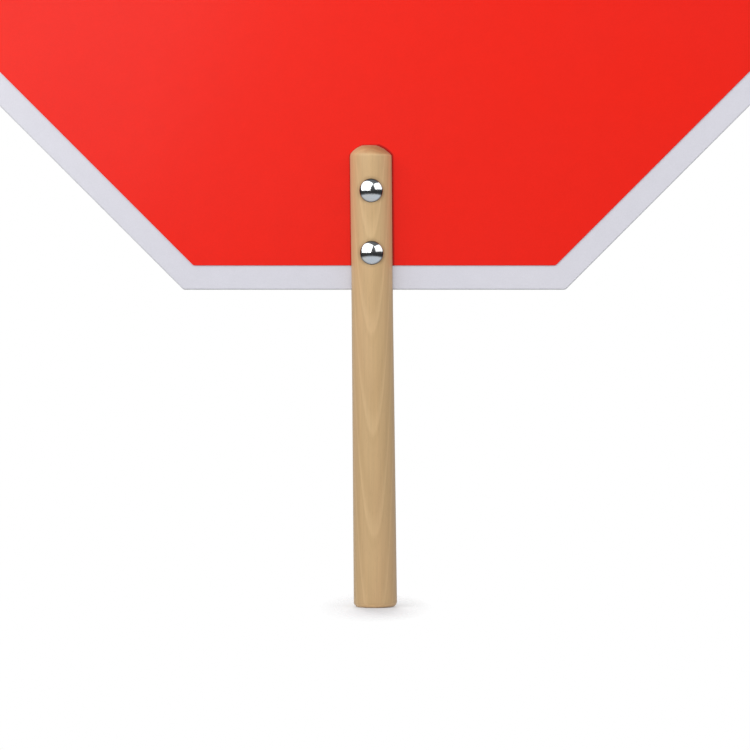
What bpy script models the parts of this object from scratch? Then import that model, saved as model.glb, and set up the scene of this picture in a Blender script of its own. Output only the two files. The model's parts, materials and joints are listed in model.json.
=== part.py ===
"""Stop slow paddle: an octagonal two-sided road sign bolted into the sawn end of a round wooden handle.

Metres, +Z up. The origin is the centre of the handle's flat lower end. The STOP side faces -Y and the
SLOW side faces +Y, and the plane y = 0 runs through the middle of the sign and of the saw cut.
"""

from math import asin, cos, pi, radians, sin, sqrt, tan

import bmesh
import bpy
from mathutils import Matrix

OBJECT = "stop_slow_paddle"
GAP = 0.0003  # left between pieces that touch

# Sign
ACROSS_FLATS = 0.6096
BLANK_THICKNESS = 0.0020
CORNER_RADIUS = 0.0025
CORNER_STEPS = 4
SIGN_BOTTOM_Z = 0.2096  # the octagon's lower edge above the handle's end
SIGN_CENTRE_Z = SIGN_BOTTOM_Z + ACROSS_FLATS / 2
SIGN_CENTRE_X = -0.0006  # not quite in line with the handle's end

# Sheeting and the printed film over it, the same two layers on each side
FILM_THICKNESS = 0.0003
LAYERS = 2
SHEETING_INSET = 0.0005  # trimmed just inside the blank's edge
STOP_BORDER = 0.0160  # white showing round the red
DIAMOND_HALF_DIAGONAL = 0.2920
DIAMOND_CORNER_RADIUS = 0.0320
DIAMOND_LINE_INSET = 0.0100  # orange showing outside the black line
DIAMOND_LINE_WIDTH = 0.0160

# Handle, a dowel turned a little thinner between its ends
HANDLE_LENGTH = 0.3048
HANDLE_LEAN = radians(0.6)  # bolted on by hand, so its top leans towards -X
BUTT_RADIUS = 0.0143
WAIST_RADIUS = 0.0137
WAIST_HEIGHT = 0.1950
TOP_RADIUS = 0.0139
BUTT_ROUNDING = 0.0034
TOP_DOME_RADIUS = 0.0168
TOP_DOME_FROM = radians(34)  # where the dome meets the side in a soft crease
TOP_DOME_TO = radians(72)  # where the flat at the very top begins
ROUNDING_STEPS = 5
HANDLE_SIDES = 56

# Carriage bolts, washers and nuts, 1/4 inch
BOLT_HEIGHTS = {"lower": 0.2335, "upper": 0.2745}  # along the handle, from its lower end
BOLT_LENGTH = 0.0381  # from under the head
SHANK_RADIUS = 0.00315
POINT_CHAMFER = 0.0008
HEAD_RADIUS = 0.0077
HEAD_HEIGHT = 0.0036
HEAD_RIM = 0.0006  # straight edge under the dome
DOME_STEPS = 7
NECK_SIDE = 0.0063
NECK_LENGTH = 0.0036
BOLT_HOLE_RADIUS = 0.0036
SEAT_DEPTH = 0.0011  # flat seats pressed into the handle's round sides
WASHER_RADIUS = 0.0079
WASHER_HOLE_RADIUS = 0.0036
WASHER_THICKNESS = 0.0016
NUT_ACROSS_FLATS = 0.0111
NUT_THICKNESS = 0.0055
NUT_CHAMFER_ANGLE = radians(30)
NUT_FACE_RADIUS = 0.0052  # flat ring left inside the chamfer
NUT_TURNS = {"lower": radians(19), "upper": radians(43)}  # where the wrench happened to stop
ROUND_SIDES = 40
SMOOTH_UP_TO = radians(35)

# Linear RGB, roughness, metallic
LOOKS = {
    "aluminium": ((0.62, 0.63, 0.65), 0.38, 1.0),
    "white_sheeting": ((0.72, 0.72, 0.78), 0.45, 0.0),
    "red_film": ((0.80, 0.025, 0.022), 0.35, 0.0),
    "orange_sheeting": ((0.90, 0.20, 0.010), 0.40, 0.0),
    "black_film": ((0.012, 0.012, 0.013), 0.45, 0.0),
    "wood": ((0.58, 0.40, 0.21), 0.55, 0.0),
    "zinc": ((0.70, 0.72, 0.75), 0.22, 1.0),
}


# Scene and objects


def clear_scene():
    for thing in list(bpy.data.objects):
        bpy.data.objects.remove(thing, do_unlink=True)


def new_collection(name):
    made = bpy.data.collections.new(name)
    bpy.context.scene.collection.children.link(made)
    return made


def make_material(name, colour, roughness, metallic):
    made = bpy.data.materials.new(name)
    made.use_nodes = True
    shader = made.node_tree.nodes["Principled BSDF"]
    shader.inputs["Base Color"].default_value = (*colour, 1.0)
    shader.inputs["Roughness"].default_value = roughness
    shader.inputs["Metallic"].default_value = metallic
    return made


def place(name, data, collection, look=None):
    """A new object holding the mesh or curve, with a material of its own if it is a part."""
    made = bpy.data.objects.new(name, data)
    collection.objects.link(made)
    if look:
        data.materials.append(make_material(name, *LOOKS[look]))
    return made


def place_cutter(name, shape, collection):
    """A guide made from a bmesh, for a Boolean only."""
    mesh = bpy.data.meshes.new(name)
    shape.to_mesh(mesh)
    shape.free()
    made = place(name, mesh, collection)
    made.hide_render = True
    made.display_type = "WIRE"
    return made


def join(thing, cutter, operation):
    boolean = thing.modifiers.new(cutter.name, "BOOLEAN")
    boolean.operation = operation
    boolean.object = cutter
    boolean.solver = "EXACT"


# Shapes


def arc(centre_x, centre_y, radius, start, end, steps):
    """Points on an arc, both ends included."""
    angles = [start + (end - start) * i / steps for i in range(steps + 1)]
    return [(centre_x + radius * cos(a), centre_y + radius * sin(a)) for a in angles]


def rounded_polygon(sides, apothem, corner_radius):
    """Outline of a regular polygon with rounded corners and a corner or a side facing +X."""
    half_turn = pi / sides
    to_corner_centre = (apothem - corner_radius) / cos(half_turn)
    first_corner = half_turn if sides == 8 else 0.0
    outline = []
    for i in range(sides):
        angle = first_corner + 2 * i * half_turn
        outline += arc(
            to_corner_centre * cos(angle),
            to_corner_centre * sin(angle),
            corner_radius,
            angle - half_turn,
            angle + half_turn,
            CORNER_STEPS,
        )
    return outline


def octagon(inset=0.0):
    return rounded_polygon(8, ACROSS_FLATS / 2 - inset, CORNER_RADIUS)


def diamond(inset=0.0):
    return rounded_polygon(
        4, DIAMOND_HALF_DIAGONAL / sqrt(2) - inset, DIAMOND_CORNER_RADIUS - inset
    )


def flat_plate(name, outlines, thickness, y_centre, collection, look):
    """An upright plate in the sign's plane, from closed outlines about the sign's centre."""
    curve = bpy.data.curves.new(name, "CURVE")
    curve.dimensions = "2D"
    curve.fill_mode = "BOTH"
    curve.extrude = thickness / 2
    for outline in outlines:
        spline = curve.splines.new("POLY")
        spline.points.add(len(outline) - 1)
        for point, (x, z) in zip(spline.points, outline):
            point.co = (x, z, 0.0, 1.0)
        spline.use_cyclic_u = True
    drawn = place(name, curve, collection)
    drawn.location = (SIGN_CENTRE_X, y_centre, SIGN_CENTRE_Z)
    drawn.rotation_euler = (pi / 2, 0.0, 0.0)
    return as_mesh(drawn, collection, look)


def as_mesh(drawn, collection, look):
    """A curve's object remade as a closed mesh, its loose caps welded to its sides."""
    bpy.context.view_layer.update()
    evaluated = drawn.evaluated_get(bpy.context.evaluated_depsgraph_get())
    mesh = bpy.data.meshes.new_from_object(evaluated)
    welded = bmesh.new()
    welded.from_mesh(mesh)
    bmesh.ops.remove_doubles(welded, verts=welded.verts, dist=0.00001)
    bmesh.ops.recalc_face_normals(welded, faces=welded.faces)
    welded.to_mesh(mesh)
    welded.free()
    name, matrix = drawn.name, drawn.matrix_world.copy()
    bpy.data.objects.remove(drawn, do_unlink=True)
    made = place(name, mesh, collection, look)
    made.matrix_world = matrix
    return made


def turned(name, profile, collection, look=None, closed=False, sides=ROUND_SIDES):
    """A solid of revolution about local Z, from (radius, height) points listed top to bottom."""
    mesh = bpy.data.meshes.new(name)
    last = len(profile) - 1
    edges = [(i, i + 1) for i in range(last)]
    if closed:
        edges.append((last, 0))
    mesh.from_pydata([(radius, 0.0, height) for radius, height in profile], edges, [])
    thing = place(name, mesh, collection, look)
    screw = thing.modifiers.new("turn", "SCREW")
    screw.steps = screw.render_steps = sides
    screw.use_merge_vertices = True
    screw.merge_threshold = 0.00001
    screw.use_smooth_shade = True
    return thing


def rod_cutter(name, radius, y_from, y_to, height, collection, axis):
    """A cylinder along Y through the handle, at a height on its axis."""
    shape = bmesh.new()
    bmesh.ops.create_cone(
        shape,
        cap_ends=True,
        segments=ROUND_SIDES,
        radius1=radius,
        radius2=radius,
        depth=y_to - y_from,
        matrix=Matrix.Rotation(pi / 2, 4, "X"),
    )
    made = place_cutter(name, shape, collection)
    made.location = (0.0, (y_from + y_to) / 2, height)
    made.parent = axis
    return made


def box_cutter(name, low, high, collection, parent=None):
    """A box between two corners."""
    size = [b - a for a, b in zip(low, high)]
    shape = bmesh.new()
    bmesh.ops.create_cube(shape, size=1.0)
    bmesh.ops.scale(shape, verts=shape.verts, vec=size)
    made = place_cutter(name, shape, collection)
    made.location = [(a + b) / 2 for a, b in zip(low, high)]
    made.parent = parent
    return made


# Sign


def layer_y(side, number):
    """Middle of a layer: side is -1 for STOP and 1 for SLOW, and number 0 lies next to the blank."""
    pitch = GAP + FILM_THICKNESS
    return side * (BLANK_THICKNESS / 2 + GAP + number * pitch + FILM_THICKNESS / 2)


def make_sign(parts):
    """The blank and the layers on its two sides."""
    line_outer = DIAMOND_LINE_INSET
    line_inner = DIAMOND_LINE_INSET + DIAMOND_LINE_WIDTH
    sheeting = octagon(SHEETING_INSET)
    layers = [
        ("stop_white_sheeting", [sheeting], -1, 0, "white_sheeting"),
        ("stop_red_film", [octagon(STOP_BORDER)], -1, 1, "red_film"),
        ("slow_orange_sheeting", [sheeting], 1, 0, "orange_sheeting"),
        ("slow_black_surround", [sheeting, diamond()], 1, 1, "black_film"),
        ("slow_black_line", [diamond(line_outer), diamond(line_inner)], 1, 1, "black_film"),
    ]
    blank = flat_plate("sign_blank", [octagon()], BLANK_THICKNESS, 0.0, parts, "aluminium")
    films = [
        flat_plate(name, outlines, FILM_THICKNESS, layer_y(side, number), parts, look)
        for name, outlines, side, number, look in layers
    ]
    return [blank, *films]


def drill_sign(plates, cutters, axis):
    """The two bolt holes, through the blank and every layer that covers them."""
    for which, height in BOLT_HEIGHTS.items():
        hole = rod_cutter(
            f"sign_hole_{which}", BOLT_HOLE_RADIUS, -BUTT_RADIUS, BUTT_RADIUS, height, cutters, axis
        )
        for plate in plates:
            if plate.name != "slow_black_line":
                join(plate, hole, "DIFFERENCE")


# Handle


def side_radius(height):
    """The dowel's radius at a height."""
    if height < WAIST_HEIGHT:
        return BUTT_RADIUS + (WAIST_RADIUS - BUTT_RADIUS) * height / WAIST_HEIGHT
    above = (height - WAIST_HEIGHT) / (HANDLE_LENGTH - WAIST_HEIGHT)
    return WAIST_RADIUS + (TOP_RADIUS - WAIST_RADIUS) * above


def seat_distance(height):
    """From the handle's axis to the flat seats at a height, at the front and at the back."""
    return side_radius(height) - SEAT_DEPTH


def handle_profile():
    top = arc(
        TOP_RADIUS - TOP_DOME_RADIUS * cos(TOP_DOME_FROM),
        HANDLE_LENGTH - TOP_DOME_RADIUS * sin(TOP_DOME_TO),
        TOP_DOME_RADIUS,
        TOP_DOME_TO,
        TOP_DOME_FROM,
        ROUNDING_STEPS,
    )
    butt = arc(
        BUTT_RADIUS - BUTT_ROUNDING, BUTT_ROUNDING, BUTT_ROUNDING, 0.0, -pi / 2, ROUNDING_STEPS
    )
    waist = (WAIST_RADIUS, WAIST_HEIGHT)
    return [(0.0, HANDLE_LENGTH), *top, waist, *butt, (0.0, 0.0)]


def make_handle(parts, cutters, axis):
    handle = turned("handle", handle_profile(), parts, "wood", sides=HANDLE_SIDES)
    handle.parent = axis

    # The saw cut takes the sign and its layers and runs out through the top. Its end is level with
    # the sign's lower edge, so it does not lean with the handle.
    half_width = layer_y(1, LAYERS - 1) + FILM_THICKNESS / 2 + GAP
    reach = 2 * BUTT_RADIUS
    saw_cut = box_cutter(
        "saw_cut",
        (-reach, -half_width, SIGN_BOTTOM_Z - GAP),
        (reach, half_width, HANDLE_LENGTH + reach),
        cutters,
    )
    join(handle, saw_cut, "DIFFERENCE")

    half_pocket = NECK_SIDE / 2 + GAP
    for which, height in BOLT_HEIGHTS.items():
        seat = seat_distance(height)
        neck_pocket = box_cutter(
            f"neck_pocket_{which}",
            (-half_pocket, -reach, height - half_pocket),
            (half_pocket, -seat + NECK_LENGTH + GAP, height + half_pocket),
            cutters,
            axis,
        )
        rods = (
            ("bolt_hole", BOLT_HOLE_RADIUS, -reach, reach),
            ("head_seat", HEAD_RADIUS + GAP, -reach, -seat),
            ("washer_seat", WASHER_RADIUS + GAP, seat, reach),
        )
        join(handle, neck_pocket, "DIFFERENCE")
        for name, radius, y_from, y_to in rods:
            rod = rod_cutter(f"{name}_{which}", radius, y_from, y_to, height, cutters, axis)
            join(handle, rod, "DIFFERENCE")


# Bolts, washers and nuts: each is made about local Z, which points out of the STOP side when placed


def mount_on_handle(thing, y, height, axis):
    thing.parent = axis
    thing.location = (0.0, y, height)
    thing.rotation_euler = (pi / 2, 0.0, 0.0)


def bolt_profile():
    """Dome, rim, shank and chamfered point, with height 0 under the head."""
    dome_height = HEAD_HEIGHT - HEAD_RIM
    sphere_radius = (HEAD_RADIUS**2 + dome_height**2) / (2 * dome_height)
    edge_angle = asin(HEAD_RADIUS / sphere_radius)
    dome = arc(
        0.0, HEAD_HEIGHT - sphere_radius, sphere_radius, pi / 2, pi / 2 - edge_angle, DOME_STEPS
    )
    return [
        (0.0, HEAD_HEIGHT),
        *dome[1:],
        (HEAD_RADIUS, 0.0),
        (SHANK_RADIUS, 0.0),
        (SHANK_RADIUS, POINT_CHAMFER - BOLT_LENGTH),
        (SHANK_RADIUS - POINT_CHAMFER, -BOLT_LENGTH),
        (0.0, -BOLT_LENGTH),
    ]


def make_bolt(which, height, parts, cutters, axis):
    bolt = turned(f"carriage_bolt_{which}", bolt_profile(), parts, "zinc")
    mount_on_handle(bolt, -seat_distance(height) - GAP, height, axis)
    half = NECK_SIDE / 2
    neck = box_cutter(
        f"neck_{which}", (-half, -half, -NECK_LENGTH), (half, half, HEAD_RIM / 2), cutters, bolt
    )
    join(bolt, neck, "UNION")


def make_washer(which, height, parts, axis):
    half = WASHER_THICKNESS / 2
    ring = [
        (WASHER_HOLE_RADIUS, half),
        (WASHER_RADIUS, half),
        (WASHER_RADIUS, -half),
        (WASHER_HOLE_RADIUS, -half),
    ]
    washer = turned(f"washer_{which}", ring, parts, "zinc", closed=True)
    mount_on_handle(washer, seat_distance(height) + GAP + half, height, axis)


def make_nut(which, height, parts, cutters, axis):
    """A hexagonal prism, chamfered by a turned blank and bored."""
    half = NUT_THICKNESS / 2
    corner_radius = NUT_ACROSS_FLATS / 2 / cos(pi / 6)
    name = f"hex_nut_{which}"
    prism = bmesh.new()
    bmesh.ops.create_cone(
        prism,
        cap_ends=True,
        segments=6,
        radius1=corner_radius,
        radius2=corner_radius,
        depth=NUT_THICKNESS,
    )
    mesh = bpy.data.meshes.new(name)
    prism.to_mesh(mesh)
    prism.free()
    nut = place(name, mesh, parts, "zinc")
    y = seat_distance(height) + WASHER_THICKNESS + 2 * GAP + half
    mount_on_handle(nut, y, height, axis)
    nut.rotation_euler.y = NUT_TURNS[which]

    outside = corner_radius + GAP
    drop = (outside - NUT_FACE_RADIUS) * tan(NUT_CHAMFER_ANGLE)
    chamfers = turned(
        f"nut_chamfers_{which}",
        [
            (0.0, half),
            (NUT_FACE_RADIUS, half),
            (outside, half - drop),
            (outside, drop - half),
            (NUT_FACE_RADIUS, -half),
            (0.0, -half),
        ],
        cutters,
    )
    chamfers.parent = nut
    chamfers.hide_render = True
    chamfers.display_type = "WIRE"
    join(nut, chamfers, "INTERSECT")
    bore = rod_cutter(
        f"nut_bore_{which}", SHANK_RADIUS + GAP, y - NUT_THICKNESS, y + NUT_THICKNESS, height, cutters, axis
    )
    join(nut, bore, "DIFFERENCE")


def main():
    clear_scene()
    parts = new_collection(OBJECT)
    cutters = new_collection("cutters")
    axis = bpy.data.objects.new("handle_axis", None)
    axis.rotation_euler = (0.0, -HANDLE_LEAN, 0.0)
    parts.objects.link(axis)

    plates = make_sign(parts)
    drill_sign(plates, cutters, axis)
    make_handle(parts, cutters, axis)
    for which, height in BOLT_HEIGHTS.items():
        make_bolt(which, height, parts, cutters, axis)
        make_washer(which, height, parts, axis)
        make_nut(which, height, parts, cutters, axis)


main()
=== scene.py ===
"""Looks of the stop slow paddle: finely meshed pieces in the places the CAD frame gives, procedural
materials, a pale floor, soft light and a level camera facing the STOP side."""

import json
from math import asin, atan, atan2, cos, floor, hypot, pi, radians, sin, sqrt, tan

import bmesh
import bpy
from mathutils import Matrix, Vector


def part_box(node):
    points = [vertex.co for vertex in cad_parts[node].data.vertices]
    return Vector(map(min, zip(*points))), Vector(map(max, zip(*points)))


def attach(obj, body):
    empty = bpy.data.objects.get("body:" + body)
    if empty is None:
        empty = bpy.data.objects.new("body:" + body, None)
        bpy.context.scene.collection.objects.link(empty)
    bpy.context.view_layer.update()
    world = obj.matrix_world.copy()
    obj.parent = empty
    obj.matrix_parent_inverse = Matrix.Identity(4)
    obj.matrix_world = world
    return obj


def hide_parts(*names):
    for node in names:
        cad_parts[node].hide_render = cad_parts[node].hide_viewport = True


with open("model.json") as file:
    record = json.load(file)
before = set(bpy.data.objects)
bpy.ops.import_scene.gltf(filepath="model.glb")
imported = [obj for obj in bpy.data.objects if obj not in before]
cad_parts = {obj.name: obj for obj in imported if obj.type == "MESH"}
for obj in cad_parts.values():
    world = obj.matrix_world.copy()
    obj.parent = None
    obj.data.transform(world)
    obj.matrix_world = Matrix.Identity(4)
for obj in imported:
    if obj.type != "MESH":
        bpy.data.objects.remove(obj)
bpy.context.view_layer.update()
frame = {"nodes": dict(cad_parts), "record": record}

MM = 0.001

# Sign, as in the CAD
OCTAGON_SIDES = 8
CORNER_RADIUS = 2.5 * MM
CORNER_STEPS = 8
DIAMOND_HALF_DIAGONAL = 292 * MM
DIAMOND_CORNER_RADIUS = 32 * MM
DIAMOND_LINE_INSET = 10 * MM
DIAMOND_LINE_WIDTH = 16 * MM
BLANK_EDGE = 0.25 * MM  # rounding left by the shear
FILM_EDGE = 0.08 * MM
WELD = 0.01 * MM
PLATE_SHARP = radians(15)

# Handle, as in the CAD
HANDLE_LENGTH = 304.8 * MM
WAIST_RADIUS = 13.7 * MM
WAIST_HEIGHT = 195 * MM
TOP_RADIUS = 13.9 * MM
BUTT_ROUNDING = 3.4 * MM
TOP_DOME_RADIUS = 16.8 * MM
TOP_DOME_FROM = radians(34)
TOP_DOME_TO = radians(72)
TOP_DOME_STEPS = 14
TOP_CREASE = 1.1 * MM  # how far the crease below the dome is worn round
CREASE_STEPS = 4
DOME_ASIDE = 1.05 * MM  # the dome was sanded by hand, and its top is this far to the left
DOME_ASIDE_CURVE = 0.6  # a power below 1, so that most of it comes right above the crease
BUTT_STEPS = 8
HANDLE_SIDES = 160
HANDLE_ROW = 4 * MM
WOOD_EDGE = 0.3 * MM
EASED_FROM = radians(40)
WOOD_SHARP = radians(32)
SNUG = 0.04 * MM  # left between pieces that are pressed together
HEAD_SEAT_PLAY = 4 * SNUG
WASHER_SEAT_PLAY = 6 * SNUG

# Bolts, washers and nuts, as in the CAD, 1/4 inch with 20 threads to the inch
HEAD_HEIGHT = 3.6 * MM
HEAD_RIM = 0.6 * MM
HEAD_DOME_STEPS = 22
HEAD_DOME_SHARE = 0.985  # how much of it is drawn before it is eased into the rim
HEAD_EASING = 0.12 * MM
NECK_SIDE = 6.3 * MM
NECK_LENGTH = 3.6 * MM
NECK_TOP = 0.2 * MM
NECK_TAPER = 1.2 * MM
NECK_TAPER_STEPS = 4
SHANK_RADIUS = 3.15 * MM
POINT_CHAMFER = 0.8 * MM
THREAD_PITCH = 1.27 * MM
THREAD_DEPTH = 0.62 * MM
THREAD_LENGTH = 17.0 * MM
THREAD_PLAY = 0.09 * MM
THREAD_STEEPNESS = 1.25  # above 1, which makes room for the flat roots and crests
THREAD_ROOT = 0.12
THREAD_ROWS = 10  # to each turn
THREAD_RUNOUT = 12  # rows over which it grows to its full depth
HOLE_RADIUS = 3.6 * MM
HOLE_SIDES = 64
WASHER_HOLE_RADIUS = 3.6 * MM
WASHER_EASING = 0.35 * MM  # where the punch rounded it
WASHER_BURR = 0.1 * MM  # chamfer of the sharper side
WASHER_STEPS = 5
BOLT_SIDES = 96
STEEL_SHARP = radians(38)
NUT_APOTHEM = 5.55 * MM
NUT_FACE = 0.95  # its flat round face, as a share of the apothem
NUT_CHAMFER = radians(30)
NUT_CHAMFER_ROWS = 9
NUT_CHAMFER_ROW = 0.12 * MM
NUT_FLARE = 0.5 * MM  # how far the hole widens at its ends
NUT_BORE_ROWS = 44
NUT_SIDES = 144
NUT_SHARP = radians(28)
WHICH = ("lower", "upper")

# Wood figure
RING_PITCH = 3.975 * MM
RING_WOBBLE = 0.9 * MM
PITH_BEHIND = 54.03 * MM
PITH_ASIDE = 3 * MM
PITH_SLOPE = 0.063  # how fast the pith leans away behind the handle, going up
PITH_TILT = 0.012  # and how fast to the left
RING_TONES = (  # how much light wood there is at each place across one ring
    (0.0, 0.40), (0.05, 0.95), (0.13, 0.78), (0.24, 0.28), (0.40, 0.12),
    (0.62, 0.36), (0.88, 0.42), (0.95, 0.22), (1.0, 0.40),
)
DRIFT_SHARE = 0.30
PORE_TONE = 0.90

# Tone of the wood by place, with painted shade and light among it, heights from the lower end
GRIP_TONE = 0.965
GRIP_TOP = 0.13
GRIP_FADED = 0.19
LOWER_END_TONE = 0.92
LOWER_END_FADED = 0.03
UNDERSIDE_TONE = 0.62
# Painted light on the downward-facing rounding of the lower end
FLOOR_FACING_LIFT = 1.4
# Strength of the dome's end-grain stain across it, with painted shade making its right darker
STAIN_AND_SHADE_LEFT = 0.5
STAIN_AND_SHADE_RIGHT = 1.25
STAIN_AND_SHADE_REACH = 8 * MM  # to each side
END_ROUGHER = 0.2

# Painted shadow on the red film along the handle's outline
JOINT_SHADE_WIDTH = 1.1 * MM
JOINT_SHADE_ASIDE = 0.35 * MM
JOINT_SHADE_TONE = 0.45

# Painted contact shadow on the wood round the bolt heads, and on the heads' outer rims
HEAD_SHADE_WIDTH = 2.2 * MM
HEAD_SHADE_TONE = 0.78
RIM_SHADE_REACH = 1.5 * MM  # how far it reaches over the heads

# Camera: the frame's width at the sign, and where its middle is
VIEW_WIDTH = 0.4953
VIEW_HEIGHT = 0.1532
VIEW_ACROSS = -0.0003
CAMERA_DISTANCE = 2.4
SENSOR = 36.0

# Stage: the floor fades out away from the handle's end, and an even light comes from all round
FLOOR_RADIUS = 0.5
FLOOR_SOLID = 0.02
FLOOR_GONE = 0.15
FLOOR_NARROWER = 4.0  # how much sooner it fades to the sides
FLOOR_SIDES = 96
FILL = 0.39
FILL_TINT = (1.0, 1.0, 1.02)
BACKDROP = 0.46  # as mirrored at grazing angles
BACKDROP_TINT = (0.9, 1.0, 1.12)
STUDIO_TINT = (0.97, 1.0, 1.04)
STUDIO_TONES = (  # as mirrored face on, from straight down to straight up
    (0.0, 0.55), (0.27, 0.60), (0.345, 0.04), (0.46, 0.025), (0.56, 0.06), (1.0, 0.15),
)

# Area lights: azimuth and elevation in degrees, distance, width and height in metres, watts
LIGHTS = {
    "key_left": (-37, 33, 1.9, 2.55, 2.2, 38),
    "fill_right": (54, 29, 2.1, 2.1, 1.5, 16),
    "back": (-175, 25, 2.6, 0.9, 1.6, 58),
}


# Where things are


def middle(box):
    return (box[0] + box[1]) / 2


def mount_axis(name):
    for mount in frame["record"]["mounts"]:
        if mount["name"] == name:
            return Vector(mount["axis"])
    raise ValueError(name)


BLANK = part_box("sign_blank")
SIGN_CENTRE = middle(BLANK)
HANDLE_AXIS = -mount_axis("handle_end")
ACROSS_HANDLE = Vector((HANDLE_AXIS.z, 0.0, -HANDLE_AXIS.x))
LEAN = Matrix.Rotation(atan(HANDLE_AXIS.x / HANDLE_AXIS.z), 4, "Y")
BUTT_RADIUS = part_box("handle")[1].y
BOLTS = {which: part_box(f"carriage_bolt_{which}") for which in WHICH}
BOLT_HEIGHTS = {which: middle(box).z / HANDLE_AXIS.z for which, box in BOLTS.items()}
HEAD_RADIUS = (BOLTS["upper"][1].x - BOLTS["upper"][0].x) / 2


def out_of_stop_side(height, y):
    """Places a piece made about local Z on the handle's axis, with local Z pointing to -Y."""
    return LEAN @ Matrix.Translation((0.0, y, height)) @ Matrix.Rotation(pi / 2, 4, "X")


# Mesh helpers


def add_piece(name, mesh, material, replaced):
    piece = linked(name, mesh)
    piece.data.materials.clear()
    piece.data.materials.append(material)
    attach(piece, "root")
    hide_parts(replaced)


def shade(mesh, angle):
    """Smooth shading, except where faces meet at more than the angle."""
    mesh.shade_smooth()
    mesh.set_sharp_from_angle(angle=angle)


def arc(centre_x, centre_y, radius, start, end, steps):
    angles = [start + (end - start) * i / steps for i in range(steps + 1)]
    return [(centre_x + radius * cos(a), centre_y + radius * sin(a)) for a in angles]


def rounded_polygon(sides, apothem, corner_radius):
    """An octagon with level top and bottom sides, or a square standing on a corner."""
    half_turn = pi / sides
    to_corner_centre = (apothem - corner_radius) / cos(half_turn)
    first_corner = half_turn if sides == OCTAGON_SIDES else 0.0
    outline = []
    for i in range(sides):
        angle = first_corner + 2 * i * half_turn
        outline += arc(
            to_corner_centre * cos(angle),
            to_corner_centre * sin(angle),
            corner_radius,
            angle - half_turn,
            angle + half_turn,
            CORNER_STEPS,
        )
    return outline


def diamond(inset=0.0):
    return rounded_polygon(
        4, DIAMOND_HALF_DIAGONAL / sqrt(2) - inset, DIAMOND_CORNER_RADIUS - inset
    )


def evaluated_mesh(thing):
    bpy.context.view_layer.update()
    graph = bpy.context.evaluated_depsgraph_get()
    return bpy.data.meshes.new_from_object(thing.evaluated_get(graph), depsgraph=graph)


def grid_mesh(name, rows, sides, closed=False, turn=0.0):
    """A turned mesh: each row gives (radius, height), or a function of the angle that does. The ends
    close on the axis, or the last row joins the first."""
    mesh = bmesh.new()
    rings = []
    for row in rows:
        ring = []
        for i in range(sides):
            angle = turn + 2 * pi * i / sides
            radius, height = row(angle) if callable(row) else row
            ring.append(mesh.verts.new((radius * cos(angle), radius * sin(angle), height)))
        rings.append(ring)
    pairs = list(zip(rings, rings[1:]))
    if closed:
        pairs.append((rings[-1], rings[0]))
    for upper, lower in pairs:
        for i in range(sides):
            j = (i + 1) % sides
            mesh.faces.new((upper[i], lower[i], lower[j], upper[j]))
    if not closed:
        for ring, top in ((rings[0], True), (rings[-1], False)):
            height = sum(v.co.z for v in ring) / sides
            pole = mesh.verts.new((0.0, 0.0, height))
            for i in range(sides):
                j = (i + 1) % sides
                corner = (pole, ring[i], ring[j]) if top else (pole, ring[j], ring[i])
                mesh.faces.new(corner)
    return filled(name, mesh)


def linked(name, data):
    """A new object in the scene."""
    made = bpy.data.objects.new(name, data)
    bpy.context.scene.collection.objects.link(made)
    return made


def filled(name, shape):
    """A mesh from a bmesh, which is used up."""
    made = bpy.data.meshes.new(name)
    shape.to_mesh(made)
    shape.free()
    return made


def cutter(mesh, matrix):
    made = linked("cutter", mesh)
    made.matrix_world = matrix
    return made


def rod(radius, y_from, y_to, height):
    """A cylinder along Y through the handle's axis."""
    shape = bmesh.new()
    bmesh.ops.create_cone(
        shape, cap_ends=True, segments=HOLE_SIDES, radius1=radius, radius2=radius,
        depth=y_to - y_from,
    )
    return cutter(filled("rod", shape), out_of_stop_side(height, (y_from + y_to) / 2))


def block(low, high, matrix):
    shape = bmesh.new()
    bmesh.ops.create_cube(shape, size=1.0)
    size = [b - a for a, b in zip(low, high)]
    centre = [(a + b) / 2 for a, b in zip(low, high)]
    bmesh.ops.scale(shape, verts=shape.verts, vec=size)
    bmesh.ops.translate(shape, verts=shape.verts, vec=centre)
    return cutter(filled("block", shape), matrix)


def cut_away(mesh, cutters, matrix, edge=None):
    """The mesh with the cutters taken out of it, in world space, its new edges eased."""
    thing = cutter(mesh, matrix)
    for tool in cutters:
        boolean = thing.modifiers.new("cut", "BOOLEAN")
        boolean.operation = "DIFFERENCE"
        boolean.object = tool
        boolean.solver = "EXACT"
    if edge:
        bevel = thing.modifiers.new("edge", "BEVEL")
        bevel.width = edge
        bevel.segments = 2
        bevel.limit_method = "ANGLE"
        bevel.angle_limit = EASED_FROM
        bevel.miter_outer = "MITER_ARC"
    result = evaluated_mesh(thing)
    result.transform(thing.matrix_world)
    for used in (thing, *cutters):
        bpy.data.objects.remove(used, do_unlink=True)
    return result


# Shader helpers


def add(tree, kind, *values, **settings):
    """A node with its inputs set in order, from numbers or other nodes' outputs; its first output."""
    made = tree.nodes.new(kind)
    for name, value in settings.items():
        setattr(made, name, value)
    for socket, value in zip(made.inputs, values):
        connect(tree, value, socket)
    return made.outputs[0]


def connect(tree, value, socket):
    if isinstance(value, bpy.types.NodeSocket):
        tree.links.new(value, socket)
    elif value is not None:
        socket.default_value = value


def math(tree, operation, *values):
    return add(tree, "ShaderNodeMath", *values, operation=operation)


def product(tree, first, *others):
    for other in others:
        first = math(tree, "MULTIPLY", first, other)
    return first


def hypotenuse(tree, across, along):
    squares = [math(tree, "MULTIPLY", side, side) for side in (across, along)]
    return math(tree, "SQRT", math(tree, "ADD", *squares))


def dot(tree, vector, direction):
    made = tree.nodes.new("ShaderNodeVectorMath")
    made.operation = "DOT_PRODUCT"
    connect(tree, vector, made.inputs[0])
    made.inputs[1].default_value = direction
    return made.outputs["Value"]


def scaled(tree, vector, factors):
    return add(tree, "ShaderNodeVectorMath", vector, factors, operation="MULTIPLY")


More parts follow.
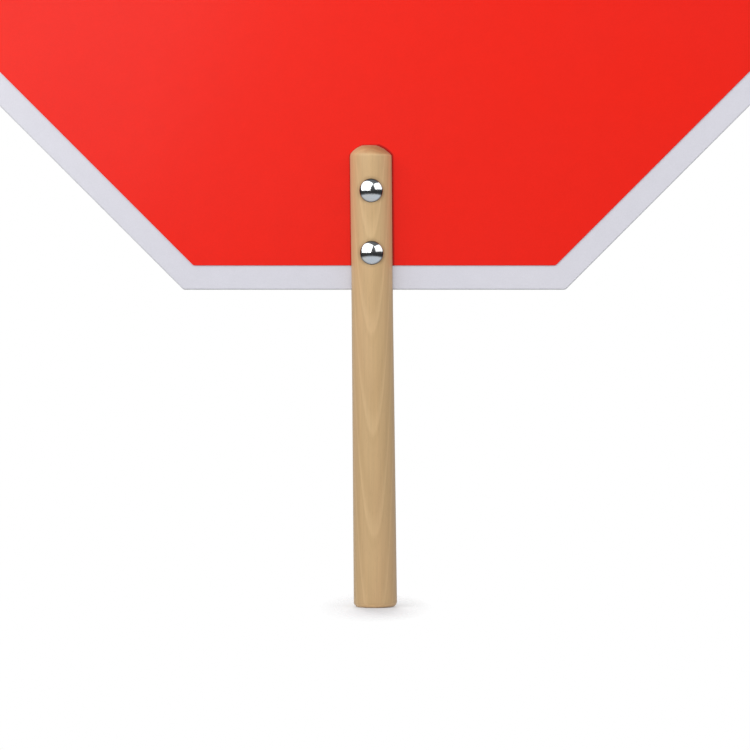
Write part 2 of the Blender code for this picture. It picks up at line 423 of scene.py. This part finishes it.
def noise(tree, vector, scale, detail=2.0, roughness=0.5):
    """A noise whose scale is in waves to the metre, like the factors of a place scaled for it."""
    made = tree.nodes.new("ShaderNodeTexNoise")
    connect(tree, vector, made.inputs["Vector"])
    for name, value in (("Scale", scale), ("Detail", detail), ("Roughness", roughness)):
        made.inputs[name].default_value = value
    return made.outputs["Fac"]


def cells(tree, vector, scale):
    """A Voronoi pattern: a random value for each cell, and the distance from its middle."""
    made = tree.nodes.new("ShaderNodeTexVoronoi")
    connect(tree, vector, made.inputs["Vector"])
    made.inputs["Scale"].default_value = scale
    split = tree.nodes.new("ShaderNodeSeparateColor")
    tree.links.new(made.outputs["Color"], split.inputs[0])
    return split.outputs[0], made.outputs["Distance"]


def remap(tree, value, low, high, to_low, to_high):
    return add(tree, "ShaderNodeMapRange", value, low, high, to_low, to_high)


def spread(tree, value, to_low, to_high):
    """Takes a noise, nearly all of whose values lie in its middle, to another range."""
    return remap(tree, value, 0.3, 0.7, to_low, to_high)


def blend(tree, factor, first, second, mode="MIX"):
    made = tree.nodes.new("ShaderNodeMix")
    made.data_type = "RGBA"
    made.blend_type = mode
    made.clamp_factor = True
    connect(tree, factor, made.inputs[0])
    connect(tree, first, made.inputs[6])
    connect(tree, second, made.inputs[7])
    return made.outputs[2]


def rgb(red, green, blue):
    return (red, green, blue, 1.0)


def tinted(value, tint):
    """A grey value with a cast."""
    return rgb(*(value * part for part in tint))


def colour_ramp(tree, value, stops):
    """The colour at the value, between stops that are each a position and a colour."""
    made = tree.nodes.new("ShaderNodeValToRGB")
    connect(tree, value, made.inputs[0])
    ramp = made.color_ramp
    while len(ramp.elements) < len(stops):
        ramp.elements.new(0.5)
    for element, (position, colour) in zip(ramp.elements, stops):
        element.position = position
        element.color = colour
    return made.outputs[0]


def bump(tree, height, distance, strength=1.0, normal=None):
    made = tree.nodes.new("ShaderNodeBump")
    made.inputs["Strength"].default_value = strength
    made.inputs["Distance"].default_value = distance
    connect(tree, height, made.inputs["Height"])
    if normal is not None:
        connect(tree, normal, made.inputs["Normal"])
    return made.outputs["Normal"]


def new_material(name):
    """A material, its tree and shader, and the place in metres."""
    made = bpy.data.materials.new(name)
    made.use_nodes = True
    tree = made.node_tree
    shader = tree.nodes["Principled BSDF"]
    place = tree.nodes.new("ShaderNodeTexCoord").outputs["Object"]
    return made, tree, shader, place


# Materials. The films and the sheet each drift between two colours

WHITE_SHEETING = rgb(0.680, 0.676, 0.738), rgb(0.700, 0.694, 0.752)
RED_FILM = rgb(0.880, 0.013, 0.003), rgb(0.850, 0.012, 0.004)
ORANGE_SHEETING = rgb(0.930, 0.185, 0.006), rgb(0.900, 0.170, 0.008)
BLACK_FILM = rgb(0.014, 0.014, 0.016), rgb(0.018, 0.018, 0.020)
SHEETING_GLOSS = 0.34
BLACK_GLOSS = 0.40
MILL_FINISH = rgb(0.75, 0.76, 0.78), rgb(0.82, 0.83, 0.84)
WOOD_DARK = rgb(0.572, 0.379, 0.182)
WOOD_LIGHT = rgb(0.672, 0.461, 0.234)
WOOD_DRIFT = rgb(0.630, 0.398, 0.216)
# End-grain stain colour, also used as painted shade on the dome's right
END_STAIN_AND_SHADE = rgb(0.57, 0.39, 0.27)
# Colour of the painted contact shadow on the bolt heads' rims
HEAD_RIM_SHADE = rgb(0.10, 0.085, 0.070)
BRIGHT_ZINC = (0.86, 0.88, 0.91)
BRIGHT_GLOSS = 0.11
DULL_ZINC = (0.74, 0.76, 0.79)
DULL_GLOSS = 0.22
STRAW_CAST = (1.03, 1.0, 0.95)
BLUE_CAST = (0.96, 1.0, 1.03)
PALE_FLOOR = rgb(0.66, 0.66, 0.67)


def joint_shade(tree, place):
    """Painted shadow: darkest right beside the handle's outline on the sheet, and 1 away from it."""
    across = math(tree, "SUBTRACT", dot(tree, place, ACROSS_HANDLE), JOINT_SHADE_ASIDE)
    across = math(tree, "ABSOLUTE", across)
    along = dot(tree, place, HANDLE_AXIS)
    side = math(tree, "SUBTRACT", across, TOP_RADIUS)
    top = math(tree, "SUBTRACT", along, HANDLE_LENGTH)
    rise = math(tree, "ADD", top, TOP_DOME_RADIUS * sin(TOP_DOME_TO))
    rise = math(tree, "MAXIMUM", rise, 0.0)
    dome = math(tree, "SUBTRACT", hypotenuse(tree, across, rise), TOP_DOME_RADIUS)
    outside = math(tree, "MAXIMUM", math(tree, "MAXIMUM", side, top), dome)
    return remap(tree, outside, 0.0, JOINT_SHADE_WIDTH, JOINT_SHADE_TONE, 1.0)


def from_bolts(tree, place):
    """Distance from the axis of the nearer bolt."""
    across = dot(tree, place, ACROSS_HANDLE)
    along = dot(tree, place, HANDLE_AXIS)
    heights = [math(tree, "SUBTRACT", along, BOLT_HEIGHTS[which]) for which in WHICH]
    return math(tree, "MINIMUM", *[hypotenuse(tree, across, height) for height in heights])


def sheeting(name, colours, seed, gloss=SHEETING_GLOSS, shaded_joint=False):
    """Retroreflective sheeting: beads under a clear smooth skin, with faint handling marks."""
    made, tree, shader, place = new_material(name)
    moved = add(tree, "ShaderNodeVectorMath", place, (seed, seed, seed), operation="ADD")
    broad = noise(tree, moved, 7.0, 3.0)
    mottle = noise(tree, moved, 90.0, 4.0, 0.6)
    beads, _ = cells(tree, moved, 1900.0)
    base = blend(tree, spread(tree, broad, 0.0, 1.0), *colours)
    tone = product(
        tree, spread(tree, mottle, 0.985, 1.012), remap(tree, beads, 0.0, 1.0, 0.98, 1.02)
    )
    # Painted shadow along the handle's outline, where the handle stands proud of the sheet
    if shaded_joint:
        tone = product(tree, tone, joint_shade(tree, place))
    connect(tree, scaled(tree, base, tone), shader.inputs["Base Color"])

    # Faint rub marks, long and thin in two directions, that only dull the gloss
    rub_one = noise(tree, scaled(tree, moved, (14.0, 1.0, 420.0)), 1.0, 3.0)
    rub_two = noise(tree, scaled(tree, moved, (260.0, 1.0, 22.0)), 1.0, 3.0)
    rubs = math(tree, "MAXIMUM", rub_one, rub_two)
    roughness = math(
        tree, "ADD", remap(tree, rubs, 0.62, 0.85, gloss, gloss + 0.05),
        spread(tree, broad, -0.02, 0.03),
    )
    connect(tree, roughness, shader.inputs["Roughness"])
    peel = noise(tree, moved, 260.0, 2.0)
    wave = noise(tree, moved, 11.0, 1.0)
    skin = bump(tree, peel, 0.02 * MM, 0.5)
    connect(tree, bump(tree, wave, 0.6 * MM, 0.4, skin), shader.inputs["Normal"])
    shader.inputs["Coat Weight"].default_value = 0.08
    shader.inputs["Coat Roughness"].default_value = 0.12
    shader.inputs["Specular IOR Level"].default_value = 0.22
    return made


def aluminium():
    """Mill-finish sheet, with the fine upright tears of a sheared edge."""
    made, tree, shader, place = new_material("aluminium_sheet")
    tears = noise(tree, scaled(tree, place, (2600.0, 90.0, 2600.0)), 1.0, 3.0, 0.6)
    broad = noise(tree, place, 60.0, 3.0)
    base = blend(tree, spread(tree, broad, 0.0, 1.0), *MILL_FINISH)
    base = scaled(tree, base, spread(tree, tears, 0.90, 1.05))
    connect(tree, base, shader.inputs["Base Color"])
    connect(tree, spread(tree, tears, 0.40, 0.56), shader.inputs["Roughness"])
    connect(tree, bump(tree, tears, 0.03 * MM, 0.5), shader.inputs["Normal"])
    shader.inputs["Metallic"].default_value = 0.22
    return made


def wood():
    """Pale birch turned from a straight-grained board: rings about a far pith that leans away behind
    the handle, so that they meet its front in nested U shapes."""
    made, tree, shader, place = new_material("birch")
    wobble = noise(tree, scaled(tree, place, (55.0, 55.0, 9.0)), 1.0, 3.0, 0.55)
    across = math(tree, "SUBTRACT", dot(tree, place, (1.0, 0.0, PITH_TILT)), PITH_ASIDE)
    behind = math(tree, "SUBTRACT", dot(tree, place, (0.0, 1.0, -PITH_SLOPE)), PITH_BEHIND)
    radius = hypotenuse(tree, across, behind)
    radius = math(tree, "ADD", radius, product(tree, wobble, RING_WOBBLE))
    ring = math(tree, "FRACT", math(tree, "DIVIDE", radius, RING_PITCH))
    stops = [(position, rgb(tone, tone, tone)) for position, tone in RING_TONES]
    base = blend(tree, colour_ramp(tree, ring, stops), WOOD_DARK, WOOD_LIGHT)
    fibres = noise(tree, scaled(tree, place, (1500.0, 1500.0, 28.0)), 1.0, 4.0, 0.6)
    streaks = noise(tree, scaled(tree, place, (330.0, 330.0, 7.0)), 1.0, 3.0, 0.55)
    drift = noise(tree, scaled(tree, place, (60.0, 60.0, 11.0)), 1.0, 2.0)
    base = blend(tree, remap(tree, drift, 0.35, 0.65, 0.0, DRIFT_SHARE), base, WOOD_DRIFT)
    grain = product(tree, spread(tree, fibres, 0.955, 1.035), spread(tree, streaks, 0.955, 1.03))

    # Short dark pores lying along the grain
    _, pore_distance = cells(tree, scaled(tree, place, (1900.0, 1900.0, 130.0)), 1.0)
    pores = remap(tree, pore_distance, 0.10, 0.24, 0.0, 1.0)
    pored = remap(tree, pores, 0.0, 1.0, PORE_TONE, 1.0)

    # The handle is a little darker below the grip's top, and darker still at its lower end
    height = dot(tree, place, (0.0, 0.0, 1.0))
    darker_low = remap(tree, height, GRIP_TOP, GRIP_FADED, GRIP_TONE, 1.0)
    darker_at_end = remap(tree, height, 0.0, LOWER_END_FADED, LOWER_END_TONE, 1.0)

    # Painted contact shadow on the wood round the bolt heads
    contact_shade = remap(
        tree, from_bolts(tree, place), HEAD_RADIUS, HEAD_RADIUS + HEAD_SHADE_WIDTH, HEAD_SHADE_TONE, 1.0
    )

    # Cut ends show end grain, which drinks the finish: the dome is browner, and painted shade makes
    # it darker on its right. The lower end's rounding has painted light, lifting its shade
    normal = tree.nodes.new("ShaderNodeNewGeometry").outputs["Normal"]
    upward = dot(tree, normal, (0.0, 0.0, 1.0))
    underside = remap(tree, upward, -0.9, -0.99, 0.0, 1.0)
    soaked = remap(tree, underside, 0.0, 1.0, 1.0, UNDERSIDE_TONE)
    # Painted light lifting the shade of the rounding that faces the floor
    painted_lift = remap(tree, upward, -0.2, -0.8, 1.0, FLOOR_FACING_LIFT)
    dome = remap(tree, upward, 0.40, 0.86, 0.0, 1.0)
    blotch = noise(tree, scaled(tree, place, (260.0, 260.0, 260.0)), 1.0, 2.0)
    shade_to_right = remap(
        tree, dot(tree, place, ACROSS_HANDLE), -STAIN_AND_SHADE_REACH, STAIN_AND_SHADE_REACH,
        STAIN_AND_SHADE_LEFT, STAIN_AND_SHADE_RIGHT,
    )
    stain_and_shade = product(tree, dome, shade_to_right, spread(tree, blotch, 0.8, 1.1))
    base = blend(tree, stain_and_shade, base, END_STAIN_AND_SHADE, "MULTIPLY")
    tone = product(tree, grain, pored, darker_low, darker_at_end, contact_shade, soaked, painted_lift)
    connect(tree, scaled(tree, base, tone), shader.inputs["Base Color"])

    end = math(tree, "MAXIMUM", dome, underside)
    rough = math(tree, "ADD", spread(tree, streaks, 0.42, 0.54), product(tree, end, END_ROUGHER))
    connect(tree, rough, shader.inputs["Roughness"])
    raised = bump(tree, fibres, 0.05 * MM, 0.55)
    connect(tree, bump(tree, pores, 0.04 * MM, 0.5, raised), shader.inputs["Normal"])
    shader.inputs["Specular IOR Level"].default_value = 0.35
    shader.inputs["Sheen Weight"].default_value = 0.12
    shader.inputs["Sheen Roughness"].default_value = 0.5
    shader.inputs["Coat Weight"].default_value = 0.08
    shader.inputs["Coat Roughness"].default_value = 0.35
    return made


def plated_steel(name, gloss, zinc, marks=1.0, shaded_rim=False):
    """Zinc plating with fine handling scratches, or the share of them given in marks, and a faint
    blue and straw cast."""
    made, tree, shader, place = new_material(name)
    cast = noise(tree, place, 160.0, 2.0)
    warm, cool = (
        rgb(*(part * shift for part, shift in zip(zinc, shifts)))
        for shifts in (STRAW_CAST, BLUE_CAST)
    )
    base = blend(tree, remap(tree, cast, 0.35, 0.65, 0.0, 1.0), warm, cool)
    specks = noise(tree, place, 2600.0, 3.0, 0.6)
    base = scaled(tree, base, remap(tree, specks, 0.3, 0.75, 1.02, 0.94))
    # Painted contact shadow darkens the head's outer rim
    if shaded_rim:
        from_axis = from_bolts(tree, place)
        contact_shade = remap(tree, from_axis, HEAD_RADIUS - RIM_SHADE_REACH, HEAD_RADIUS, 0.0, 1.0)
        base = blend(tree, product(tree, contact_shade, contact_shade), base, HEAD_RIM_SHADE)
    connect(tree, base, shader.inputs["Base Color"])
    scratch_one = noise(tree, scaled(tree, place, (5200.0, 900.0, 260.0)), 1.0, 2.0)
    scratch_two = noise(tree, scaled(tree, place, (300.0, 900.0, 4700.0)), 1.0, 2.0)
    scratches = math(tree, "MAXIMUM", scratch_one, scratch_two)
    roughness = math(
        tree, "ADD", remap(tree, scratches, 0.6, 0.8, gloss, gloss + 0.10 * marks),
        spread(tree, specks, 0.0, 0.05 * marks),
    )
    connect(tree, roughness, shader.inputs["Roughness"])
    swell = bump(tree, noise(tree, place, 420.0, 1.0), 0.08 * MM, 0.6)
    connect(tree, bump(tree, specks, 0.02 * MM, 0.35 * marks, swell), shader.inputs["Normal"])
    shader.inputs["Metallic"].default_value = 1.0
    return made


# Pieces


def plate_mesh(name, outlines, y_from, y_to, edge):
    """A flat plate in the sign's plane with eased edges, drilled for the bolts."""
    curve = bpy.data.curves.new(name, "CURVE")
    curve.dimensions = "2D"
    curve.fill_mode = "BOTH"
    curve.extrude = (y_to - y_from) / 2 - edge
    curve.bevel_depth = edge
    curve.bevel_resolution = 1
    curve.offset = -edge
    for outline in outlines:
        spline = curve.splines.new("POLY")
        spline.points.add(len(outline) - 1)
        for point, (x, z) in zip(spline.points, outline):
            point.co = (x, z, 0.0, 1.0)
        spline.use_cyclic_u = True
    drawn = linked(name, curve)
    mesh = evaluated_mesh(drawn)
    bpy.data.objects.remove(drawn, do_unlink=True)
    welded = bmesh.new()
    welded.from_mesh(mesh)
    bmesh.ops.remove_doubles(welded, verts=welded.verts, dist=WELD)
    bmesh.ops.recalc_face_normals(welded, faces=welded.faces)
    welded.to_mesh(mesh)
    welded.free()
    matrix = Matrix.Translation((SIGN_CENTRE.x, (y_from + y_to) / 2, SIGN_CENTRE.z))
    matrix = matrix @ Matrix.Rotation(pi / 2, 4, "X")
    holes = [rod(HOLE_RADIUS, -BUTT_RADIUS, BUTT_RADIUS, BOLT_HEIGHTS[which]) for which in WHICH]
    made = cut_away(mesh, holes, matrix)
    shade(made, PLATE_SHARP)
    return made


def half_width(node):
    low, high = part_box(node)
    return (high.x - low.x) / 2


def make_sign():
    """The blank and its layers, each layer lying right on the one under it."""
    stop_face = BLANK[0].y
    slow_face = BLANK[1].y
    white_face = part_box("stop_white_sheeting")[0].y
    red_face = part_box("stop_red_film")[0].y
    orange_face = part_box("slow_orange_sheeting")[1].y
    black_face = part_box("slow_black_surround")[1].y
    octagon, sheet, field = (
        rounded_polygon(OCTAGON_SIDES, half_width(node), CORNER_RADIUS)
        for node in ("sign_blank", "stop_white_sheeting", "stop_red_film")
    )
    line_inner = DIAMOND_LINE_INSET + DIAMOND_LINE_WIDTH
    line = [diamond(DIAMOND_LINE_INSET), diamond(line_inner)]

    black = sheeting("black_film", BLACK_FILM, 5.0, BLACK_GLOSS)
    layers = (
        ("blank_sheet", [octagon], stop_face, slow_face, BLANK_EDGE, aluminium(), "aluminium",
         "sign_blank"),
        ("stop_white_face", [sheet], white_face, stop_face, FILM_EDGE,
         sheeting("white_sheeting", WHITE_SHEETING, 1.0), "white_sheeting",
         "stop_white_sheeting"),
        ("stop_red_face", [field], red_face, white_face, FILM_EDGE,
         sheeting("red_film", RED_FILM, 2.0, shaded_joint=True), "red_film", "stop_red_film"),
        ("slow_orange_face", [sheet], slow_face, orange_face, FILM_EDGE,
         sheeting("orange_sheeting", ORANGE_SHEETING, 3.0), "orange_sheeting",
         "slow_orange_sheeting"),
        ("slow_black_corners", [sheet, diamond()], orange_face, black_face, FILM_EDGE, black,
         "black_film", "slow_black_surround"),
        ("slow_black_outline", line, orange_face, black_face, FILM_EDGE, black,
         "black_film", "slow_black_line"),
    )
    for name, outlines, y_from, y_to, edge, material, slot, node in layers:
        mesh = plate_mesh(name, outlines, y_from, y_to, edge)
        add_piece(name, mesh, material, node)


def side_radius(height):
    if height < WAIST_HEIGHT:
        return BUTT_RADIUS + (WAIST_RADIUS - BUTT_RADIUS) * height / WAIST_HEIGHT
    above = (height - WAIST_HEIGHT) / (HANDLE_LENGTH - WAIST_HEIGHT)
    return WAIST_RADIUS + (TOP_RADIUS - WAIST_RADIUS) * above


def eased(before, corner, after):
    """Points strictly between the first and the last that round off the corner."""
    points = []
    for i in range(1, CREASE_STEPS):
        share = i / CREASE_STEPS
        weights = ((1 - share) ** 2, 2 * share * (1 - share), share**2)
        ends = (before, corner, after)
        points.append(tuple(sum(w * p[axis] for w, p in zip(weights, ends)) for axis in (0, 1)))
    return points


def handle_rows():
    """Rows down the handle: domed top, soft crease, waisted side and rounded butt."""
    dome_in = TOP_RADIUS - TOP_DOME_RADIUS * cos(TOP_DOME_FROM)
    dome_centre = HANDLE_LENGTH - TOP_DOME_RADIUS * sin(TOP_DOME_TO)
    foot = dome_centre + TOP_DOME_RADIUS * sin(TOP_DOME_FROM)
    worn = TOP_DOME_FROM + TOP_CREASE / TOP_DOME_RADIUS
    dome = arc(dome_in, dome_centre, TOP_DOME_RADIUS, TOP_DOME_TO, worn, TOP_DOME_STEPS)
    side_top = (side_radius(foot - TOP_CREASE), foot - TOP_CREASE)
    crease = eased(dome[-1], (TOP_RADIUS, foot), side_top)
    span = side_top[1] - BUTT_ROUNDING
    count = int(span / HANDLE_ROW)
    heights = [side_top[1] - span * i / count for i in range(count)]
    side = [(side_radius(height), height) for height in heights]
    inner = BUTT_RADIUS - BUTT_ROUNDING
    butt = arc(inner, BUTT_ROUNDING, BUTT_ROUNDING, 0.0, -pi / 2, BUTT_STEPS)
    return [*dome, *crease, *side, *butt]


def make_handle(material):
    """The turned handle with its lopsided dome, cut for the sign, bolts and washers."""
    body = grid_mesh("handle", handle_rows(), HANDLE_SIDES)
    foot = HANDLE_LENGTH - TOP_DOME_RADIUS * (sin(TOP_DOME_TO) - sin(TOP_DOME_FROM))
    for vertex in body.vertices:
        if vertex.co.z > foot:
            up_dome = (vertex.co.z - foot) / (HANDLE_LENGTH - foot)
            vertex.co.x -= DOME_ASIDE * up_dome**DOME_ASIDE_CURVE
    reach = 2 * BUTT_RADIUS
    slot_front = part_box("stop_red_film")[0].y - SNUG
    slot_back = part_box("slow_black_line")[1].y + SNUG
    slot_low = (-reach, slot_front, BLANK[0].z - SNUG)
    slot_high = (reach, slot_back, HANDLE_LENGTH + reach)
    cutters = [block(slot_low, slot_high, Matrix.Identity(4))]
    half_pocket = NECK_SIDE / 2 + SNUG
    for which in WHICH:
        height = BOLT_HEIGHTS[which]
        head_seat = BOLTS[which][0].y + HEAD_HEIGHT + SNUG
        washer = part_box(f"washer_{which}")
        washer_radius = (washer[1].x - washer[0].x) / 2
        cutters += [
            rod(HOLE_RADIUS, -reach, reach, height),
            rod(HEAD_RADIUS + HEAD_SEAT_PLAY, -reach, head_seat, height),
            rod(washer_radius + WASHER_SEAT_PLAY, washer[0].y - SNUG, reach, height),
            block(
                (-half_pocket, -reach, height - half_pocket),
                (half_pocket, head_seat + NECK_LENGTH + SNUG, height + half_pocket),
                LEAN,
            ),
        ]
    mesh = cut_away(body, cutters, LEAN, WOOD_EDGE)
    shade(mesh, WOOD_SHARP)
    add_piece("dowel_handle", mesh, material, "handle")


def thread(radius, height, angle, depth):
    """Radius on a right-hand thread whose crests are at the given radius."""
    turn = height / THREAD_PITCH - angle / (2 * pi)
    from_root = abs(2 * (turn - floor(turn)) - 1)
    flank = min(1.0, max(0.0, THREAD_STEEPNESS * from_root - THREAD_ROOT))
    return radius - depth * (1 - flank)


def square(angle, half):
    return half / max(abs(cos(angle)), abs(sin(angle)))


def bolt_rows(length):
    """Rows from the dome down to the point, height 0 being under the head."""
    dome_height = HEAD_HEIGHT - HEAD_RIM
    sphere = (HEAD_RADIUS**2 + dome_height**2) / (2 * dome_height)
    dome_end = pi / 2 - asin(HEAD_RADIUS / sphere) * HEAD_DOME_SHARE
    dome = arc(0.0, HEAD_HEIGHT - sphere, sphere, pi / 2, dome_end, HEAD_DOME_STEPS)
    rows = [
        *dome[1:],
        (HEAD_RADIUS, HEAD_RIM - HEAD_EASING),
        (HEAD_RADIUS, HEAD_EASING),
        (HEAD_RADIUS - HEAD_EASING, 0.0),
    ]
    half = NECK_SIDE / 2
    for depth in (0.0, NECK_TOP, NECK_LENGTH - NECK_TAPER):
        rows.append(lambda angle, depth=depth: (square(angle, half), -depth))
    for step in range(1, NECK_TAPER_STEPS + 1):
        share = step / NECK_TAPER_STEPS
        rows.append(
            lambda angle, share=share: (
                square(angle, half) * (1 - share) + SHANK_RADIUS * share,
                -NECK_LENGTH + NECK_TAPER * (1 - share),
            )
        )
    start = -(length - THREAD_LENGTH)
    rows.append((SHANK_RADIUS, start + THREAD_PITCH))
    count = int(THREAD_LENGTH / THREAD_PITCH * THREAD_ROWS)
    for i in range(count + 1):
        height = start - THREAD_LENGTH * i / count
        grow = min(1.0, i / THREAD_RUNOUT)
        limit = SHANK_RADIUS - max(0.0, POINT_CHAMFER - (height + length))
        rows.append(
            lambda angle, height=height, grow=grow, limit=limit: (
                min(limit, thread(SHANK_RADIUS, height, angle, THREAD_DEPTH * grow)),
                height,
            )
        )
    return rows


def make_bolts(material):
    for which, box in BOLTS.items():
        length = box[1].y - box[0].y - HEAD_HEIGHT
        mesh = grid_mesh(f"bolt_{which}", bolt_rows(length), BOLT_SIDES)
        mesh.transform(out_of_stop_side(BOLT_HEIGHTS[which], box[0].y + HEAD_HEIGHT))
        shade(mesh, STEEL_SHARP)
        add_piece(f"domed_bolt_{which}", mesh, material, f"carriage_bolt_{which}")


def make_washers(material):
    for which in WHICH:
        low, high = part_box(f"washer_{which}")
        half, radius = (high.y - low.y) / 2, (high.x - low.x) / 2
        easing, hole = WASHER_EASING, WASHER_HOLE_RADIUS
        rows = [
            (hole + WASHER_BURR, half),
            (radius - WASHER_BURR, half),
            (radius, half - WASHER_BURR),
            *arc(radius - easing, easing - half, easing, 0.0, -pi / 2, WASHER_STEPS),
            (hole + easing, -half),
            (hole, easing - half),
            (hole, half - WASHER_BURR),
        ]
        mesh = grid_mesh(f"washer_{which}", rows, BOLT_SIDES, closed=True)
        mesh.transform(out_of_stop_side(BOLT_HEIGHTS[which], (low.y + high.y) / 2))
        shade(mesh, STEEL_SHARP)
        add_piece(f"flat_washer_{which}", mesh, material, f"washer_{which}")


def nut_turn(which):
    """Angle of one of the CAD nut's corners about its own axis."""
    node = frame["nodes"][f"hex_nut_{which}"]
    height = BOLT_HEIGHTS[which]
    back = out_of_stop_side(height, middle(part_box(f"hex_nut_{which}")).y).inverted()
    corner = max((back @ v.co for v in node.data.vertices), key=lambda p: hypot(p.x, p.y))
    return atan2(corner.y, corner.x)


def nut_rows(half, turn, bolt_start):
    """Rows down the nut's outside and back up its threaded hole."""

    def hexagon(angle):
        return NUT_APOTHEM / cos((angle - turn) % (pi / 3) - pi / 6)

    def outside(height):
        limit = NUT_APOTHEM * NUT_FACE + (half - abs(height)) / tan(NUT_CHAMFER)
        return lambda angle: (min(hexagon(angle), limit), height)

    def inside(height):
        flare = max(0.0, abs(height) - half + NUT_FLARE)
        return lambda angle: (
            thread(SHANK_RADIUS, height + bolt_start, angle, THREAD_DEPTH) + THREAD_PLAY + flare,
            height,
        )

    upper = [half - NUT_CHAMFER_ROW * i for i in range(NUT_CHAMFER_ROWS)]
    lower = [-height for height in reversed(upper)]
    bore = [-half + 2 * half * i / NUT_BORE_ROWS for i in range(NUT_BORE_ROWS + 1)]
    return [*map(outside, [*upper, *lower]), *map(inside, bore)]


def make_nuts(material):
    for which in WHICH:
        low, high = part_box(f"hex_nut_{which}")
        half = (high.y - low.y) / 2
        bolt_start = BOLTS[which][0].y + HEAD_HEIGHT - (low.y + high.y) / 2
        turn = nut_turn(which)
        rows = nut_rows(half, turn, bolt_start)
        mesh = grid_mesh(f"nut_{which}", rows, NUT_SIDES, closed=True, turn=turn)
        mesh.transform(out_of_stop_side(BOLT_HEIGHTS[which], (low.y + high.y) / 2))
        shade(mesh, NUT_SHARP)
        add_piece(f"nut_{which}", mesh, material, f"hex_nut_{which}")


# Stage, light and camera


def make_floor():
    """A pale round floor that fades out, so that it has no edge."""
    disc = bmesh.new()
    bmesh.ops.create_circle(disc, cap_ends=True, segments=FLOOR_SIDES, radius=FLOOR_RADIUS)
    mesh = filled("floor", disc)
    floor_piece = linked("floor", mesh)
    made = bpy.data.materials.new("pale_floor")
    made.use_nodes = True
    tree = made.node_tree
    tree.nodes.clear()
    place = tree.nodes.new("ShaderNodeTexCoord").outputs["Object"]
    distance = tree.nodes.new("ShaderNodeVectorMath")
    distance.operation = "LENGTH"
    tree.links.new(scaled(tree, place, (FLOOR_NARROWER, 1.0, 1.0)), distance.inputs[0])
    fade = remap(tree, distance.outputs["Value"], FLOOR_SOLID, FLOOR_GONE, 1.0, 0.0)
    pale = add(tree, "ShaderNodeBsdfDiffuse", PALE_FLOOR)
    clear = add(tree, "ShaderNodeBsdfTransparent")
    mixed = add(tree, "ShaderNodeMixShader", fade, clear, pale)
    out = tree.nodes.new("ShaderNodeOutputMaterial")
    tree.links.new(mixed, out.inputs["Surface"])
    mesh.materials.append(made)


def softbox(name, azimuth, elevation, distance, width, height, watts):
    """An area light aimed at the bolts. Azimuth 0 is in front of the STOP side, 90 to its right."""
    target = Vector((0.0, 0.0, BOLT_HEIGHTS["upper"]))
    a, e = radians(azimuth), radians(elevation)
    away = Vector((sin(a) * cos(e), -cos(a) * cos(e), sin(e)))
    light = bpy.data.lights.new(name, "AREA")
    light.shape = "RECTANGLE"
    light.size = width
    light.size_y = height
    light.energy = watts
    lamp = linked(name, light)
    lamp.location = target + away * distance
    lamp.rotation_mode = "QUATERNION"
    lamp.rotation_quaternion = away.to_track_quat("Z", "Y")
    lamp.visible_camera = False


def make_world():
    """White to the camera, an even fill for the object, and, for what shiny parts mirror, a dark
    studio with a bright floor in front of a pale backdrop."""
    world = bpy.data.worlds.new("studio")
    bpy.context.scene.world = world
    world.use_nodes = True
    tree = world.node_tree
    tree.nodes.clear()
    direction = tree.nodes.new("ShaderNodeTexCoord").outputs["Generated"]
    rise = remap(tree, dot(tree, direction, (0.0, 0.0, 1.0)), -1.0, 1.0, 0.0, 1.0)
    stops = [(position, tinted(tone, STUDIO_TINT)) for position, tone in STUDIO_TONES]
    backward = dot(tree, direction, (0.0, 1.0, 0.0))
    mirrored = blend(
        tree, remap(tree, backward, 0.05, 0.5, 0.0, 1.0), colour_ramp(tree, rise, stops),
        tinted(BACKDROP, BACKDROP_TINT),
    )
    path = tree.nodes.new("ShaderNodeLightPath")
    seen = blend(tree, path.outputs["Is Glossy Ray"], tinted(FILL, FILL_TINT), mirrored)
    seen = blend(tree, path.outputs["Is Camera Ray"], seen, rgb(1.0, 1.0, 1.0))
    background = add(tree, "ShaderNodeBackground", seen, 1.0)
    out = tree.nodes.new("ShaderNodeOutputWorld")
    tree.links.new(background, out.inputs["Surface"])


def make_camera():
    data = bpy.data.cameras.new("camera")
    data.sensor_width = SENSOR
    data.lens = SENSOR * CAMERA_DISTANCE / VIEW_WIDTH
    camera = linked("camera", data)
    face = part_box("stop_red_film")[0].y
    camera.location = (VIEW_ACROSS, face - CAMERA_DISTANCE, VIEW_HEIGHT)
    camera.rotation_euler = (pi / 2, 0.0, 0.0)
    bpy.context.scene.camera = camera


def main():
    bpy.context.scene.view_settings.view_transform = "Standard"
    make_camera()
    make_world()
    make_floor()
    for name, place_and_size in LIGHTS.items():
        softbox(name, *place_and_size)
    make_sign()
    make_handle(wood())
    bright = plated_steel("bright_zinc", BRIGHT_GLOSS, BRIGHT_ZINC, marks=0.5, shaded_rim=True)
    dull = plated_steel("zinc_plate", DULL_GLOSS, DULL_ZINC)
    make_bolts(bright)
    make_washers(dull)
    make_nuts(dull)


main()
